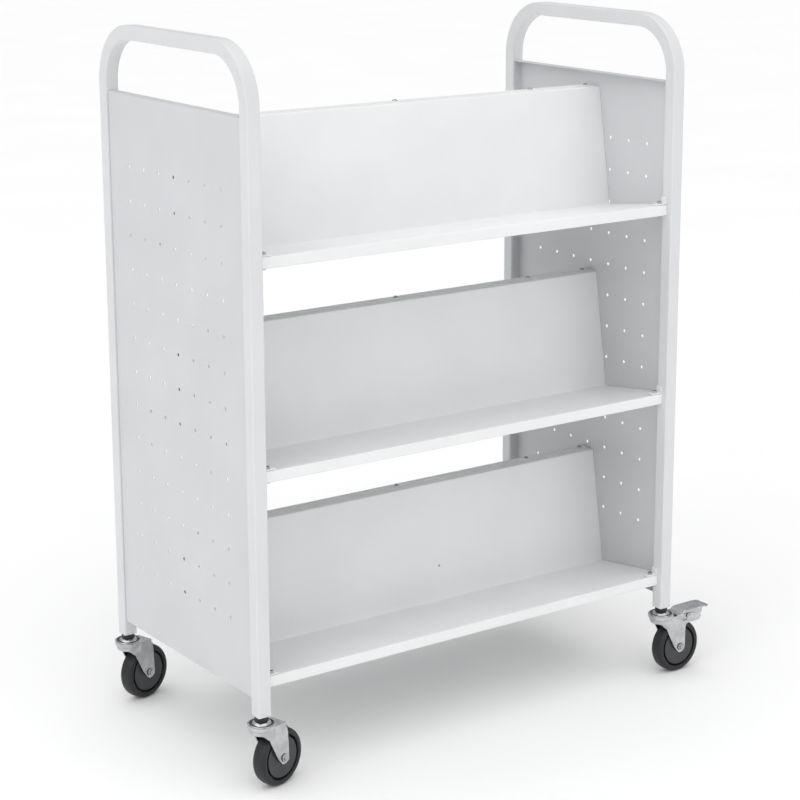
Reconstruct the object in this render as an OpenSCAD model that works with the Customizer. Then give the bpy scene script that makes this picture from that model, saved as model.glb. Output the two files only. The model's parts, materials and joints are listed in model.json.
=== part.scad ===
// Double-sided library book cart: two bent-tube end frames with perforated sheet
// panels, three W-section shelves and four swivel stem casters, two of them braked.
// Millimetres, +Z up, origin on the floor under the middle of the cart.
// X runs along the length, -Y is the front.

/* [Overall] */
// Length over the two end frames
cart_length = 920; // [760:1:1200]
// Depth over the front and back legs
cart_depth = 500; // [400:1:640]
// Height of the push bars above the floor
cart_height = 1262; // [1200:1:1530]

/* [End frames] */
// Outside width of the square tube
tube_w = 25; // [22:0.5:32]
// Wall of the square tube
tube_wall = 1.5; // [1:0.1:2.5]
// Outside corner radius of the square tube
tube_corner = 2.5; // [1.6:0.1:4]
// Outside radius of the two bends of the push bar
bend_radius = 105; // [60:1:140]

/* [End panels] */
// Thickness of the panel sheet
panel_sheet = 1.2; // [0.8:0.1:2]
// How far the panel lies behind the outer face of the tube
panel_recess = 4; // [1:0.5:8]
// Width of the panel's folded edges
panel_flange = 19; // [10:0.5:24]
// Gap between the end of the legs and the panel
panel_lift = 28; // [10:1:80]
// Height of the hand gap between the panel and the push bar
hand_gap = 94; // [60:1:140]
// Number of columns of holes
hole_columns = 7; // [1:1:9]
// Number of rows of holes
hole_rows = 13; // [1:1:15]
// Sideways spacing of the holes
hole_pitch_y = 52; // [40:0.5:60]
// Upright spacing of the holes
hole_pitch_z = 61; // [40:0.5:66]
// Radius of the holes
hole_r = 3; // [1:0.1:5]

/* [Shelves] */
// Thickness of the shelf sheet
shelf_sheet = 1.2; // [0.8:0.1:2]
// Height of the lowest shelf's front edge above the end of the legs
shelf_first = 85; // [70:1:140]
// Height from one shelf to the next
shelf_pitch = 358; // [280:1:380]
// Height of the front lip
lip_h = 20; // [14:0.5:30]
// Width of the fold under the lip
lip_return = 14; // [12:0.5:20]
// How far the lip lies behind the front of the legs
lip_inset = 11; // [6:0.5:16]
// How far the shelf falls from its front edge to the valley
valley_drop = 25; // [5:1:40]
// Distance of the valley from the middle of the cart
valley_y = 53; // [40:1:80]
// Height of the ridge above the shelf's front edge
ridge_rise = 177; // [120:1:190]
// Width of the flat top of the ridge
ridge_w = 36; // [30:1:50]
// Height of the folded ends under the shelf
end_fold = 15; // [8:1:25]
// Number of screws along a ridge, without the two at its ends
ridge_screw_count = 3; // [1:1:5]
// Distance between those screws
ridge_screw_pitch = 307; // [100:1:320]

/* [Fasteners] */
// Radius of the screws' shanks
screw_r = 2.5; // [2:0.5:3]
// Radius of the screws' heads
screw_head_r = 4.8; // [4.2:0.1:6]
// Height of the screws' heads
screw_head_h = 2.6; // [1.5:0.1:4]
// Width across the flats of the nuts
nut_flats = 8; // [7:0.5:10]
// Height of the nuts
nut_h = 4; // [3:0.5:6]

/* [Casters] */
// Radius of the wheel over its tyre
wheel_r = 51; // [42:0.5:64]
// Width of the tyre
tyre_w = 28; // [22:0.5:30]
// Thickness of the tyre
tyre_t = 11; // [7:0.5:16]
// Gap between the wheel and the crown of its fork
crown_gap = 11; // [8:0.5:20]
// Distance of the axle behind the swivel
trail = 38; // [30:0.5:45]
// Turn of the two left casters about their stems
left_turn = 17; // [0:1:359]
// Turn of the two right casters about their stems
right_turn = 1; // [0:1:359]
// Radius of the swivel head
head_r = 25; // [22:0.5:30]
// Thickness of the fork's sheet
fork_sheet = 2.5; // [2:0.1:3]
// Radius of the stem
stem_r = 6; // [5:0.5:8]
// Length of the stem inside the leg
stem_len = 34; // [24:1:45]
// Radius of the axle bolt
axle_r = 4; // [3:0.5:5]
// Radius of the sleeve that the wheel turns on
sleeve_r = 6; // [5.5:0.25:8]
// Distance of the pedal's end behind the axle
pedal_reach = 72; // [60:1:90]
// Width of the brake pedal
pedal_w = 36; // [30:1:44]

/* [Fits] */
// Gap round a shaft that turns in its bore
running_gap = 0.05; // [0.02:0.01:0.1]
// Gap round a bolt in a plain hole
bolt_gap = 0.2; // [0.1:0.05:0.5]
// Gap between pieces that slide together when built
fit_gap = 0.3; // [0.2:0.05:0.8]
// Gap on each side of the wheel in its fork
side_gap = 2; // [1:0.25:4]

/* [Hidden] */
$fn = 64;
half_length = cart_length / 2;
half_depth = cart_depth / 2;
leg_x = half_length - tube_w / 2;
leg_y = half_depth - tube_w / 2;
// casters, from the floor up
plate_low = 2 * wheel_r + crown_gap;
head_stack = 24;
leg_z = plate_low + head_stack;
// end panel
panel_x = half_length - panel_recess;
panel_half = half_depth - tube_w;
panel_low = leg_z + panel_lift;
panel_high = cart_height - tube_w - hand_gap;
panel_mid = (panel_low + panel_high) / 2;
// shelves
shelf_z = [for (k = [0:2]) leg_z + shelf_first + k * shelf_pitch];
lip_y = half_depth - lip_inset;
shelf_half = panel_x - panel_sheet - fit_gap;
lip_half = half_length - tube_w - fit_gap;
notch_y = panel_half - panel_sheet - fit_gap;
notch_w = 2 * tube_w;
ridge_front = ridge_w / 2;
lap_y = ridge_w / 2 - 4;
ridge_screw_y = 8;
ridge_end_x = shelf_half - 14;
ridge_xs = concat(
    [for (i = [0:ridge_screw_count - 1]) (i - (ridge_screw_count - 1) / 2) * ridge_screw_pitch],
    [-ridge_end_x, ridge_end_x]);
clip_sheet = 2;
clip_len = 26;
clip_drop = 24;
cleat_sheet = 2;
cleat_len = 24;
cleat_w = 12;
cleat_screw_x = lip_half - 12;
cleat_screw_y = lip_y - lip_return / 2 - 1;
// fork
fork_gap = tyre_w / 2 + side_gap;
fork_out = fork_gap + fork_sheet;
plate_high = plate_low + fork_sheet;
crown_x = 0.74 * head_r;
apron_drop = 6;
apron_low = plate_low - apron_drop;
bowl_high = plate_high + 4;
bowl_r = head_r - 1.6;
bowl_foot_r = bowl_r - 3;
leg_front = 6;
leg_front_drop = 10;
leg_drop = 18.5;
bracket_back = 46;
bracket_drop = 17;
bracket_end = 52;
bracket_end_drop = 8;
// ball ring and the cap over it
ball_r = 3;
ball_ring = head_r - 8.5;
ball_count = 14;
ball_z = plate_high + ball_r;
race_low = ball_z + ball_r + fit_gap;
race_high = race_low + 2.5;
hex_flats = tube_w - 4;
hub_r = wheel_r - tyre_t;
hub_w = tyre_w - 4;
boss_r = 11;
axle_head_h = 4;
axle_nut_h = 6;
axle_flats = 13;
king_flats = 17;
king_h = 5;
pedal_pin_r = 3;
pedal_back = 18;
pedal_pin_z = plate_low - 2.5;
pedal_sheet = 2;
pedal_top = plate_high + 7.5;
pedal_cheek = fork_gap - 0.5;
cheek_low = pedal_pin_z - 5;
shoe_back = 24;
shoe_t = 7;
shoe_z = 2 * wheel_r - 3.5;

// ---- general shapes ----

// a square with its corners rounded, centred
module rounded_square(size, r) {
    square([size - 2 * r, size], center = true);
    square([size, size - 2 * r], center = true);
    for (x = [-1, 1], y = [-1, 1])
        translate([x * (size / 2 - r), y * (size / 2 - r)]) circle(r = r);
}

module tube_section() {
    difference() {
        rounded_square(tube_w, tube_corner);
        rounded_square(tube_w - 2 * tube_wall, tube_corner - tube_wall + 0.5);
    }
}

// unit normal to the left of the line from a to b
function left_of(a, b) = let (d = b - a) [-d[1], d[0]] / norm(d);

// the point beside p[i] that keeps a constant sheet thickness on both folds
function beside(p, i, t) =
    i == 0 ? p[0] + t * left_of(p[0], p[1])
    : i == len(p) - 1 ? p[i] + t * left_of(p[i - 1], p[i])
    : let (n = left_of(p[i - 1], p[i]), m = left_of(p[i], p[i + 1]))
        p[i] + t * (n + m) / (1 + n * m);

// outline of a folded sheet whose outer face follows the points of p
function folded(p, t) =
    concat(p, [for (i = [len(p) - 1:-1:0]) beside(p, i, t)]);

// stands an outline drawn in the depth and height plane along X from x0 to x1
module along_x(x0, x1) {
    translate([x0, 0, 0]) rotate([90, 0, 90]) linear_extrude(x1 - x0) children();
}

// the left end is the right end's mirror image
module on_left() {
    mirror([1, 0, 0]) children();
}

// ---- end frames ----

// the right frame: two legs, two bends and the push bar, in one tube
module end_frame() {
    straight_y = half_depth - bend_radius;
    straight_z = cart_height - bend_radius;
    centre_r = bend_radius - tube_w / 2;
    translate([leg_x, 0, 0]) {
        for (s = [-1, 1])
            translate([0, s * leg_y, leg_z]) linear_extrude(straight_z - leg_z) tube_section();
        translate([0, straight_y, cart_height - tube_w / 2])
            rotate([90, 0, 0]) linear_extrude(2 * straight_y) tube_section();
        for (s = [0, 1])
            mirror([0, s, 0])
                translate([0, straight_y, straight_z]) rotate([0, 0, 90]) rotate([90, 0, 0])
                    rotate_extrude(angle = 90) translate([centre_r, 0]) tube_section();
    }
}

module left_end_frame() {
    color("#e4e5e6") on_left() end_frame();
}

module right_end_frame() {
    color("#e4e5e6") end_frame();
}

// ---- end panels ----

// the right panel: a sheet with its four edges folded inwards, and its grid of holes
module end_panel() {
    t = panel_sheet;
    flange_x = panel_x - panel_flange;
    height = panel_high - panel_low;
    difference() {
        translate([flange_x, -panel_half, panel_low]) cube([panel_flange, 2 * panel_half, height]);
        translate([flange_x - t, -panel_half + t, panel_low + t])
            cube([panel_flange, 2 * (panel_half - t), height - 2 * t]);
        for (c = [0:hole_columns - 1], r = [0:hole_rows - 1])
            translate([panel_x - 2 * t, (c - (hole_columns - 1) / 2) * hole_pitch_y,
                    panel_mid + (r - (hole_rows - 1) / 2) * hole_pitch_z])
                rotate([0, 90, 0]) cylinder(r = hole_r, h = 3 * t);
    }
}

module left_end_panel() {
    color("#d6d7d8") on_left() end_panel();
}

module right_end_panel() {
    color("#d6d7d8") end_panel();
}

// ---- shelves ----

// height of the shelf's top face at a depth y from the middle, above the lip's top
function slope_at(y) = -valley_drop * (lip_y - y) / (lip_y - valley_y);

// one half of a shelf, drawn as the back half, with the height of its ridge fold
module half_shelf(z, fold_to, fold_z, screw_y) {
    t = shelf_sheet;
    edge = [[lip_y - lip_return, z - lip_h], [lip_y, z - lip_h], [lip_y, z]];
    back = [[valley_y, z - valley_drop], [ridge_front, fold_z], [fold_to, fold_z]];
    difference() {
        along_x(-shelf_half, shelf_half) polygon(folded(concat(edge, back), t));
        // the front strip stops short of the legs
        for (s = [-1, 1])
            translate([s > 0 ? lip_half : -lip_half - notch_w, notch_y, z - 2 * lip_h])
                cube([notch_w, half_depth, 3 * lip_h]);
        for (x = ridge_xs)
            translate([x, screw_y, fold_z - 5 * t]) cylinder(r = screw_r + bolt_gap, h = 10 * t);
        for (s = [-1, 1])
            translate([s * cleat_screw_x, cleat_screw_y, z - lip_h - t])
                cylinder(r = screw_r + bolt_gap, h = 4 * t);
    }
    // folded ends under the slope
    fold = [[valley_y + 6, z + slope_at(valley_y + 6) - t / 2],
        [notch_y - 2, z + slope_at(notch_y - 2) - t / 2],
        [notch_y - 2, z + slope_at(notch_y - 2) - end_fold],
        [valley_y + 6, z + slope_at(valley_y + 6) - end_fold]];
    for (s = [-1, 1])
        along_x(s > 0 ? shelf_half - t : -shelf_half, s > 0 ? shelf_half : -shelf_half + t)
            polygon(fold);
}

// the back half's ridge fold lies on top of the front half's
module back_half(k) {
    z = shelf_z[k];
    color("#eceded") half_shelf(z, 0, z + ridge_rise, ridge_screw_y);
}

module front_half(k) {
    z = shelf_z[k];
    color("#eceded") mirror([0, 1, 0])
        half_shelf(z, -lap_y, z + ridge_rise - shelf_sheet, -ridge_screw_y);
}

module bottom_shelf_front() front_half(0);
module bottom_shelf_back() back_half(0);
module middle_shelf_front() front_half(1);
module middle_shelf_back() back_half(1);
module top_shelf_front() front_half(2);
module top_shelf_back() back_half(2);

// ---- what joins the shelves to the frames ----

// an angle welded to a leg inside the lip, which the fold under the lip is screwed to
module cleat(z) {
    low = z - lip_h + shelf_sheet;
    y_mid = cleat_screw_y;
    difference() {
        translate([half_length - tube_w - cleat_len, y_mid - cleat_w / 2, low])
            cube([cleat_len, cleat_w, cleat_sheet]);
        translate([cleat_screw_x, y_mid, low - 1]) cylinder(r = screw_r + bolt_gap, h = cleat_sheet + 2);
    }
    translate([half_length - tube_w - cleat_sheet, y_mid - cleat_w / 2, low])
        cube([cleat_sheet, cleat_w, lip_h - 7]);
}

module shelf_cleats() {
    for (z = shelf_z, s = [0, 1])
        mirror([0, s, 0]) cleat(z);
}

module left_shelf_cleats() {
    color("#dcdddd") on_left() shelf_cleats();
}

module right_shelf_cleats() {
    color("#dcdddd") shelf_cleats();
}

// a pan-head screw pointing up, the underside of its head at the origin
module screw(len) {
    translate([0, 0, -screw_head_h]) difference() {
        cylinder(r = screw_head_r, h = screw_head_h);
        translate([0, 0, -1]) cylinder(d = 3.5, h = 2.5, $fn = 6);
    }
    cylinder(r = screw_r, h = len);
}

module nut(flats, height, bore) {
    difference() {
        cylinder(d = flats / cos(30), h = height, $fn = 6);
        translate([0, 0, -1]) cylinder(r = bore, h = height + 2);
    }
}

module at_cleats() {
    for (z = shelf_z, sx = [-1, 1], sy = [-1, 1])
        translate([sx * cleat_screw_x, sy * cleat_screw_y, z - lip_h]) children();
}

module cleat_screws() {
    color("#c9cbcc") at_cleats() screw(shelf_sheet + cleat_sheet + nut_h + 1);
}

module cleat_nuts() {
    color("#c9cbcc") at_cleats()
        translate([0, 0, shelf_sheet + cleat_sheet]) nut(nut_flats, nut_h, screw_r);
}

// an angle welded to the panel under the end of a ridge
module ridge_clip(z) {
    high = z + ridge_rise - 2 * shelf_sheet;
    end_x = panel_x - panel_sheet;
    difference() {
        translate([end_x - clip_len, -ridge_w / 2 + 6, high - clip_sheet])
            cube([clip_len, ridge_w - 12, clip_sheet]);
        translate([ridge_end_x, ridge_screw_y, high - clip_sheet - 1])
            cylinder(r = screw_r + bolt_gap, h = clip_sheet + 2);
    }
    translate([end_x - clip_sheet, -ridge_w / 2 + 6, high - clip_drop])
        cube([clip_sheet, ridge_w - 12, clip_drop]);
}

module ridge_clips() {
    for (z = shelf_z) ridge_clip(z);
}

module left_ridge_clips() {
    color("#dcdddd") on_left() ridge_clips();
}

module right_ridge_clips() {
    color("#dcdddd") ridge_clips();
}

// the screws point down through both ridge folds
module ridge_screws() {
    color("#c9cbcc")
        for (z = shelf_z, x = ridge_xs)
            translate([x, ridge_screw_y, z + ridge_rise]) mirror([0, 0, 1])
                screw(2 * shelf_sheet + clip_sheet + nut_h + 1);
}

module ridge_nuts() {
    color("#c9cbcc")
        for (z = shelf_z, x = ridge_xs)
            translate([x, ridge_screw_y, z + ridge_rise - 2 * shelf_sheet - nut_h
                    - (abs(x) == ridge_end_x ? clip_sheet : 0)])
                nut(nut_flats, nut_h, screw_r);
}

// ---- casters: fixed pieces ----

// a corner's place: left or right, front or back, and its caster's turn
module at_corner(sx, sy) {
    translate([sx * leg_x, sy * leg_y, 0])
        rotate([0, 0, sx < 0 ? left_turn : right_turn]) children();
}

module at_corners() {
    for (sx = [-1, 1], sy = [-1, 1])
        translate([sx * leg_x, sy * leg_y, 0]) children();
}

// threaded plugs pressed into the ends of the legs
module leg_inserts() {
    plug = tube_w - 2 * tube_wall - 2 * fit_gap;
    color("#3a3b3d") at_corners() translate([0, 0, leg_z]) difference() {
        linear_extrude(stem_len - 4) rounded_square(plug, 1.2);
        translate([0, 0, -1]) cylinder(r = stem_r, h = stem_len);
    }
}

module caster_stems() {
    low = plate_low - fit_gap - king_h - 1.5;
    color("#c4c7c9") at_corners() {
        translate([0, 0, low]) cylinder(r = stem_r, h = leg_z + stem_len - low);
        translate([0, 0, race_high]) cylinder(d = hex_flats / cos(30), h = leg_z - race_high, $fn = 6);
    }
}

// the pressed cap over the ball ring
module upper_races() {
    rim = head_r - 0.8;
    color("#d3d6d8") at_corners() rotate_extrude() polygon([
        [stem_r, race_low], [stem_r, race_high], [head_r - 9, race_high], [head_r - 5, race_high - 1],
        [head_r, race_low - 1], [head_r, race_low - 5], [rim, race_low - 5], [rim, race_low - 1.6],
        [head_r - 4, race_low]]);
}

module king_nuts() {
    color("#c4c7c9") at_corners()
        translate([0, 0, plate_low - fit_gap - king_h]) nut(king_flats, king_h, stem_r);
}

// ---- casters: swivelling pieces, drawn with the wheel trailing along +X ----

// side of the fork as an outline in X and Z
module fork_side_outline(braked) {
    difference() {
        union() {
            translate([trail, wheel_r]) circle(r = boss_r);
            polygon([
                [-leg_front, plate_high], [-leg_front, plate_low - leg_front_drop],
                [0, plate_low - leg_drop], [trail - 0.87 * boss_r, wheel_r - boss_r / 2],
                [trail + boss_r, wheel_r], [trail + boss_r - 1.5, wheel_r + 3 * boss_r],
                [trail + boss_r - 6, plate_low - 2], [crown_x, plate_high]]);
            if (braked) {
                polygon([
                    [trail, plate_low - bracket_drop], [trail + bracket_back, plate_low - bracket_drop],
                    [trail + bracket_end, plate_low - bracket_end_drop],
                    [trail + pedal_back + 7, plate_low + 2], [crown_x, plate_low + 2]]);
                translate([trail + pedal_back, pedal_pin_z]) circle(r = 2 * pedal_pin_r);
            }
        }
        translate([trail, wheel_r]) circle(r = axle_r + bolt_gap);
        if (braked) translate([trail + pedal_back, pedal_pin_z]) circle(r = pedal_pin_r);
    }
}

// the front of the fork, which wraps round under the bowl and narrows into the two sides
module apron() {
    difference() {
        translate([0, 0, apron_low]) cylinder(r1 = fork_out, r2 = bowl_foot_r, h = apron_drop);
        translate([0, 0, apron_low - 1])
            cylinder(r1 = fork_gap, r2 = bowl_foot_r - fork_sheet, h = apron_drop + 1);
        translate([0, -2 * head_r, apron_low - 1]) cube([4 * head_r, 4 * head_r, apron_drop + 2]);
    }
}

module fork(braked) {
    color("#c9ccce") {
        for (s = [-1, 1])
            translate([0, s > 0 ? fork_out : -fork_gap, 0])
                rotate([90, 0, 0]) linear_extrude(fork_sheet) fork_side_outline(braked);
        apron();
        difference() {
            union() {
                // the crown between the two sides, and the bowl that holds the balls
                translate([0, -fork_out, plate_low]) cube([crown_x, 2 * fork_out, fork_sheet]);
                translate([0, 0, plate_low])
                    cylinder(r1 = bowl_foot_r, r2 = bowl_r, h = bowl_high - plate_low);
            }
            translate([0, 0, plate_high]) cylinder(r = ball_ring + ball_r + 0.4, h = bowl_high);
            translate([0, 0, plate_low - 1]) cylinder(r = stem_r + running_gap, h = fork_sheet + 2);
        }
    }
}

module balls() {
    color("#b9bcbe")
        for (i = [0:ball_count - 1])
            rotate([0, 0, i * 360 / ball_count]) translate([ball_ring, 0, ball_z]) sphere(r = ball_r);
}

// the axle runs along Y, its head on the outside of the fork
module axle() {
    color("#c4c7c9") translate([trail, -fork_out, wheel_r]) rotate([-90, 0, 0]) {
        translate([0, 0, -axle_head_h]) cylinder(r = axle_flats / 2, h = axle_head_h);
        cylinder(r = axle_r, h = 2 * fork_out + axle_nut_h + 1.5);
    }
}

module axle_nut() {
    color("#c4c7c9") translate([trail, fork_out, wheel_r]) rotate([-90, 0, 0])
        nut(axle_flats, axle_nut_h, axle_r);
}

module sleeve() {
    color("#b0b3b5") translate([trail, -fork_gap, wheel_r]) rotate([-90, 0, 0]) difference() {
        cylinder(r = sleeve_r, h = 2 * fork_gap);
        translate([0, 0, -1]) cylinder(r = axle_r + bolt_gap, h = 2 * fork_gap + 2);
    }
}

module hub() {
    boss_w = 2 * fork_gap - 2;
    color("#4a4b4e") translate([trail, 0, wheel_r]) rotate([90, 0, 0]) difference() {
        union() {
            cylinder(r = hub_r - 3, h = hub_w, center = true);
            cylinder(r = hub_r, h = hub_w - 8, center = true);
            cylinder(r = sleeve_r + 4, h = boss_w, center = true);
        }
        cylinder(r = sleeve_r + running_gap, h = boss_w + 2, center = true);
    }
}

module tyre() {
    half = tyre_w / 2;
    round_r = tyre_t - 3;
    color("#2c2d2f") translate([trail, 0, wheel_r]) rotate([90, 0, 0]) rotate_extrude() {
        translate([hub_r, -half]) square([tyre_t - round_r, tyre_w]);
        translate([hub_r, -half + round_r]) square([tyre_t, tyre_w - 2 * round_r]);
        for (s = [-1, 1])
            translate([wheel_r - round_r, s * (half - round_r)]) circle(r = round_r);
    }
}

// ---- brake pedals ----

// a tread plate on two cheeks, which turn on the pin between the sides of the fork
module pedal() {
    t = pedal_sheet;
    front = head_r + 2;
    back = trail + pedal_reach;
    color("#cfd2d4") difference() {
        union() {
            translate([front, -pedal_w / 2, pedal_top - t]) cube([back - front, pedal_w, t]);
            for (s = [-1, 1])
                translate([0, s > 0 ? pedal_cheek : -pedal_cheek + t, 0]) rotate([90, 0, 0])
                    linear_extrude(t) polygon([
                        [front + 2 * shoe_t, pedal_top - t / 2], [trail + pedal_back / 2, pedal_pin_z - 1],
                        [trail + pedal_back, cheek_low], [back - shoe_back, cheek_low],
                        [back - 2 * shoe_t, pedal_top - t / 2]]);
            // the shoe that meets the tyre
            translate([trail + shoe_back, -pedal_cheek + t / 2, shoe_z])
                cube([shoe_t, 2 * pedal_cheek - t, pedal_top - t / 2 - shoe_z]);
        }
        translate([trail + pedal_back, -pedal_cheek - 1, pedal_pin_z]) rotate([-90, 0, 0])
            cylinder(r = pedal_pin_r + running_gap, h = 2 * pedal_cheek + 2);
    }
}

module pedal_pin() {
    color("#c4c7c9") translate([trail + pedal_back, 0, pedal_pin_z]) rotate([90, 0, 0]) {
        cylinder(r = pedal_pin_r, h = 2 * fork_out + 1, center = true);
        for (s = [-1, 1])
            translate([0, 0, s * (fork_out + 0.8)])
                cylinder(r = pedal_pin_r + 1.6, h = 1.6, center = true);
    }
}

// ---- the four casters ----

module left_front_fork() at_corner(-1, -1) fork(false);
module left_front_balls() at_corner(-1, -1) balls();
module left_front_axle() at_corner(-1, -1) axle();
module left_front_axle_nut() at_corner(-1, -1) axle_nut();
module left_front_sleeve() at_corner(-1, -1) sleeve();
module left_front_hub() at_corner(-1, -1) hub();
module left_front_tyre() at_corner(-1, -1) tyre();
module left_back_fork() at_corner(-1, 1) fork(false);
module left_back_balls() at_corner(-1, 1) balls();
module left_back_axle() at_corner(-1, 1) axle();
module left_back_axle_nut() at_corner(-1, 1) axle_nut();
module left_back_sleeve() at_corner(-1, 1) sleeve();
module left_back_hub() at_corner(-1, 1) hub();
module left_back_tyre() at_corner(-1, 1) tyre();
module right_front_fork() at_corner(1, -1) fork(true);
module right_front_balls() at_corner(1, -1) balls();
module right_front_axle() at_corner(1, -1) axle();
module right_front_axle_nut() at_corner(1, -1) axle_nut();
module right_front_sleeve() at_corner(1, -1) sleeve();
module right_front_hub() at_corner(1, -1) hub();
module right_front_tyre() at_corner(1, -1) tyre();
module right_back_fork() at_corner(1, 1) fork(true);
module right_back_balls() at_corner(1, 1) balls();
module right_back_axle() at_corner(1, 1) axle();
module right_back_axle_nut() at_corner(1, 1) axle_nut();
module right_back_sleeve() at_corner(1, 1) sleeve();
module right_back_hub() at_corner(1, 1) hub();
module right_back_tyre() at_corner(1, 1) tyre();
module right_front_pedal() at_corner(1, -1) pedal();
module right_front_pedal_pin() at_corner(1, -1) pedal_pin();
module right_back_pedal() at_corner(1, 1) pedal();
module right_back_pedal_pin() at_corner(1, 1) pedal_pin();

left_end_frame();
right_end_frame();
left_end_panel();
right_end_panel();
bottom_shelf_front();
bottom_shelf_back();
middle_shelf_front();
middle_shelf_back();
top_shelf_front();
top_shelf_back();
left_shelf_cleats();
right_shelf_cleats();
cleat_screws();
cleat_nuts();
left_ridge_clips();
right_ridge_clips();
ridge_screws();
ridge_nuts();
leg_inserts();
caster_stems();
upper_races();
king_nuts();
left_front_fork();
left_front_balls();
left_front_axle();
left_front_axle_nut();
left_front_sleeve();
left_front_hub();
left_front_tyre();
left_back_fork();
left_back_balls();
left_back_axle();
left_back_axle_nut();
left_back_sleeve();
left_back_hub();
left_back_tyre();
right_front_fork();
right_front_balls();
right_front_axle();
right_front_axle_nut();
right_front_sleeve();
right_front_hub();
right_front_tyre();
right_back_fork();
right_back_balls();
right_back_axle();
right_back_axle_nut();
right_back_sleeve();
right_back_hub();
right_back_tyre();
right_front_pedal();
right_front_pedal_pin();
right_back_pedal();
right_back_pedal_pin();
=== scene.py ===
import json
import math

import bmesh
import bpy
from mathutils import Matrix, Vector


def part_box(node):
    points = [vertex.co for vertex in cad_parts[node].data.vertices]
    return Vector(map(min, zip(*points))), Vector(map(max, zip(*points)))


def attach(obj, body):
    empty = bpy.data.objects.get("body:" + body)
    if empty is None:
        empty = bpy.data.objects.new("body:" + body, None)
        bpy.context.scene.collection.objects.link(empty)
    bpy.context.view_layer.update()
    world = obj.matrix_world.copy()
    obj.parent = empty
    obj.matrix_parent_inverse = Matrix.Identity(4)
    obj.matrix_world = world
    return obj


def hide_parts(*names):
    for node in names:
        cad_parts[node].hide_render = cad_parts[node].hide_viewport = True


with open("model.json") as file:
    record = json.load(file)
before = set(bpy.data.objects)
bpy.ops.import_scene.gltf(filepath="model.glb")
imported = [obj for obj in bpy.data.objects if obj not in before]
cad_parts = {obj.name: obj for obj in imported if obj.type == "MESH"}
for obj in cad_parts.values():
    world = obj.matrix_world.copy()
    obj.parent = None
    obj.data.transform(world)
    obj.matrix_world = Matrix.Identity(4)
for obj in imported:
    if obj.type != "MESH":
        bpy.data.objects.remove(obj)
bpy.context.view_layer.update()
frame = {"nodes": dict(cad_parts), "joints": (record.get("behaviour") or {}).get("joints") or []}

NODES = frame["nodes"]
JOINTS = {joint["name"]: joint for joint in frame["joints"]}
TO_METRES = Matrix.Scale(0.001, 4)  # pieces are drawn in millimetres
SIDES = ("left", "right")
CORNERS = ("left_front", "left_back", "right_front", "right_back")
BRAKED = ("right_front", "right_back")
LEVELS = ("bottom", "middle", "top")
FLAT = math.radians(32)  # faces that meet at less than this are shaded as one surface

# sheet metal of the body, in millimetres
SHEET = 1.2
FOLD_R = 2.2
LIP_H = 20
LIP_RETURN = 14
VALLEY_DROP = 25
VALLEY_Y = 53
RIDGE_HALF = 18
LAP = 14
END_FOLD = 15
SCREW_PITCH = 307
SCREW_Y = 8
SCREW_HEAD_R = 4.8
SCREW_HEAD_H = 2.6
HOLE_R = 3
HOLES_ACROSS = 7
HOLES_UP = 13
HOLE_PITCH_Y = 52
HOLE_PITCH_Z = 61

# casters, in millimetres, with the stem on the Z axis and the wheel behind it along +X
TRAIL = 38
AXLE_Z = 51
WHEEL_R = 51
PLATE_LOW = 113
PLATE_HIGH = 115.5
SIDE_Y = 17.25
FORK_SHEET = 2.5
HEAD_R = 25
BOSS_R = 11


# ---- materials ----

def linear(text):
    """A hex colour as linear RGBA."""
    parts = [int(text[i:i + 2], 16) / 255 for i in (1, 3, 5)]
    return tuple(c / 12.92 if c <= 0.04045 else ((c + 0.055) / 1.055) ** 2.4 for c in parts) + (1,)


def add(tree, kind, settings, links=()):
    """One node: lower-case settings are its own, the others are its sockets' values."""
    node = tree.nodes.new(kind)
    for key, value in settings.items():
        if key[0].islower():
            setattr(node, key, value)
        else:
            node.inputs[key].default_value = value
    for key, source in dict(links).items():
        tree.links.new(source, node.inputs[key])
    return node


def start(name, settings):
    """A new material with its shader set, and the object's own coordinates."""
    material = bpy.data.materials.new(name)
    material.use_nodes = True
    tree = material.node_tree
    tree.nodes.clear()
    shader = add(tree, "ShaderNodeBsdfPrincipled", settings)
    output = add(tree, "ShaderNodeOutputMaterial", {})
    tree.links.new(shader.outputs["BSDF"], output.inputs["Surface"])
    coords = add(tree, "ShaderNodeTexCoord", {}).outputs["Object"]
    return material, tree, shader, coords


def per_metre(millimetres):
    """The scale of a pattern whose features are this far apart."""
    return 1000 / millimetres


def tones(tree, shader, fac, low, high, places=(0.3, 0.7)):
    """Runs the shader's colour between two hex colours."""
    ramp = add(tree, "ShaderNodeValToRGB", {}, {"Fac": fac})
    for stop, place, colour in zip(ramp.color_ramp.elements, places, (low, high)):
        stop.position = place
        stop.color = linear(colour)
    tree.links.new(ramp.outputs["Color"], shader.inputs["Base Color"])


def roughness_between(tree, shader, fac, low, high):
    span = add(tree, "ShaderNodeMapRange", {"To Min": low, "To Max": high}, {"Value": fac})
    tree.links.new(span.outputs["Result"], shader.inputs["Roughness"])


def relief(tree, shader, height, strength, depth_mm):
    bump = add(tree, "ShaderNodeBump", {"Strength": strength, "Distance": depth_mm / 1000},
        {"Height": height})
    tree.links.new(bump.outputs["Normal"], shader.inputs["Normal"])


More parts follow.
